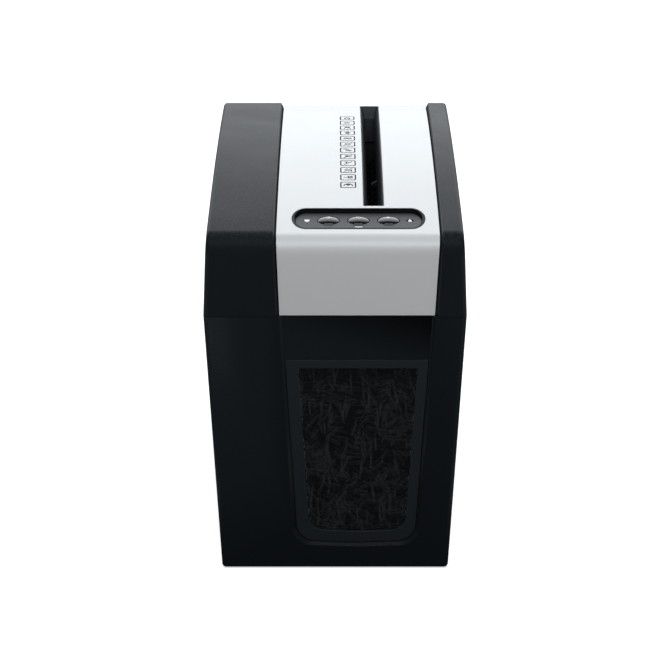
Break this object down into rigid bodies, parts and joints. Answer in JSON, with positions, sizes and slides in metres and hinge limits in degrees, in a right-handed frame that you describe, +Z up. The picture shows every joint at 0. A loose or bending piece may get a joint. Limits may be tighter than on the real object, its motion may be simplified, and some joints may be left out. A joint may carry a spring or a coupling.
{
  "type": "paper shredder",
  "caption": "Slim home paper shredder with a domed lift-off cutting head, lengthwise feed slot, button island and a tapered waste bin with a tinted window.",
  "frame": {"origin": "middle of the footprint, on the floor under the rubber feet", "axes": "+X to the right as the user faces the buttons, +Y to the back along the feed slot, +Z up"},
  "size_m": [0.17, 0.2952, 0.2491],
  "materials": {
    "black_plastic": "satin black moulded plastic",
    "silver_cover": "satin silver paint over plastic",
    "gloss_black": "gloss black",
    "smoke_window": "smoke tinted clear plastic, thin",
    "sign_lens": "milky light guide",
    "rubber": "soft black rubber",
    "paper": "loose shredded office paper",
    "steel": "machined steel",
    "motor_steel": "dark plated steel",
    "nylon": "natural nylon",
    "board": "green circuit board"
  },
  "bodies": {
    "bin": {"bin_shell": "black_plastic", "bin_window": "smoke_window", "foot_front_left": "rubber", "foot_front_right": "rubber", "foot_rear_left": "rubber", "foot_rear_right": "rubber", "shredded_paper": "paper"},
    "power_button": {"power_button": "gloss_black"},
    "forward_button": {"forward_button": "gloss_black"},
    "reverse_button": {"reverse_button": "gloss_black"},
    "cutter_right": {"cutter_right_shaft": "steel", "sync_gear_right": "steel", "output_gear": "steel"},
    "cutter_left": {"cutter_left_shaft": "steel", "sync_gear_left": "steel"},
    "second_gear": {"second_gear": "nylon"},
    "first_gear": {"first_gear": "nylon"},
    "motor_rotor": {"motor_rotor": "steel", "motor_pinion": "steel"},
    "switch_plunger": {"switch_plunger": "black_plastic"},
    "paper_sensor_lever": {"paper_sensor_lever": "black_plastic"},
    "head": {"upper_housing": "black_plastic", "slot_liner": "black_plastic", "control_bezel": "black_plastic", "lower_housing": "black_plastic", "bin_switch": "black_plastic", "top_cover": "silver_cover", "bin_sign_lens": "sign_lens", "overheat_sign_lens": "sign_lens", "power_light_bar": "sign_lens", "cord_gland": "rubber", "frame_plate_front": "steel", "frame_plate_rear": "steel", "tie_rod_left": "steel", "tie_rod_right": "steel", "tie_rod_upper_left": "steel", "tie_rod_upper_right": "steel", "sensor_pin": "steel", "housing_screw_1": "steel", "housing_screw_2": "steel", "housing_screw_3": "steel", "housing_screw_4": "steel", "motor_can": "motor_steel", "motor_end_cap": "nylon", "bushing_front_left": "nylon", "bushing_front_right": "nylon", "bushing_rear_left": "nylon", "bushing_rear_right": "nylon", "stripper_comb_left": "nylon", "stripper_comb_right": "nylon", "gear_carrier": "nylon", "control_board": "board", "power_board": "board"}
  },
  "joints": [
    {"name": "head_lift", "type": "slide", "parent": "bin", "child": "head", "axis": [0, 0, 1], "range_m": [0, 0.15]},
    {"name": "power_press", "type": "slide", "parent": "head", "child": "power_button", "axis": [0, 0.0075, -1], "range_m": [0, 0.001], "stiffness_N_per_m": 400},
    {"name": "forward_press", "type": "slide", "parent": "head", "child": "forward_button", "axis": [0, 0.0075, -1], "range_m": [0, 0.001], "stiffness_N_per_m": 400},
    {"name": "reverse_press", "type": "slide", "parent": "head", "child": "reverse_button", "axis": [0, 0.0075, -1], "range_m": [0, 0.001], "stiffness_N_per_m": 400},
    {"name": "cutter_right_spin", "type": "hinge", "parent": "head", "child": "cutter_right", "pos_m": [0.0403, 0, 0.19], "axis": [0, 1, 0], "continuous": true},
    {"name": "cutter_left_spin", "type": "hinge", "parent": "head", "child": "cutter_left", "pos_m": [0.0103, 0, 0.19], "axis": [0, 1, 0], "continuous": true},
    {"name": "second_gear_spin", "type": "hinge", "parent": "head", "child": "second_gear", "pos_m": [0.00762, 0, 0.19459], "axis": [0, 1, 0], "continuous": true},
    {"name": "first_gear_spin", "type": "hinge", "parent": "head", "child": "first_gear", "pos_m": [-0.02234, 0, 0.19616], "axis": [0, 1, 0], "continuous": true},
    {"name": "motor_rotor_spin", "type": "hinge", "parent": "head", "child": "motor_rotor", "pos_m": [-0.05006, 0, 0.20006], "axis": [0, 1, 0], "continuous": true},
    {"name": "switch_plunger_press", "type": "slide", "parent": "head", "child": "switch_plunger", "axis": [0, 0, 1], "range_m": [0, 0.002], "stiffness_N_per_m": 150},
    {"name": "paper_lever_swing", "type": "hinge", "parent": "head", "child": "paper_sensor_lever", "pos_m": [0.0375, 0.008, 0.229], "axis": [0, 1, 0], "range_deg": [-30, 0], "stiffness_Nm_per_rad": 0.002}
  ],
  "couplings": [
    {"joint": "cutter_right_spin", "follows": "motor_rotor_spin", "ratio": -0.027174},
    {"joint": "cutter_left_spin", "follows": "motor_rotor_spin", "ratio": 0.027174},
    {"joint": "second_gear_spin", "follows": "motor_rotor_spin", "ratio": 0.072464},
    {"joint": "first_gear_spin", "follows": "motor_rotor_spin", "ratio": -0.21739}
  ]
}
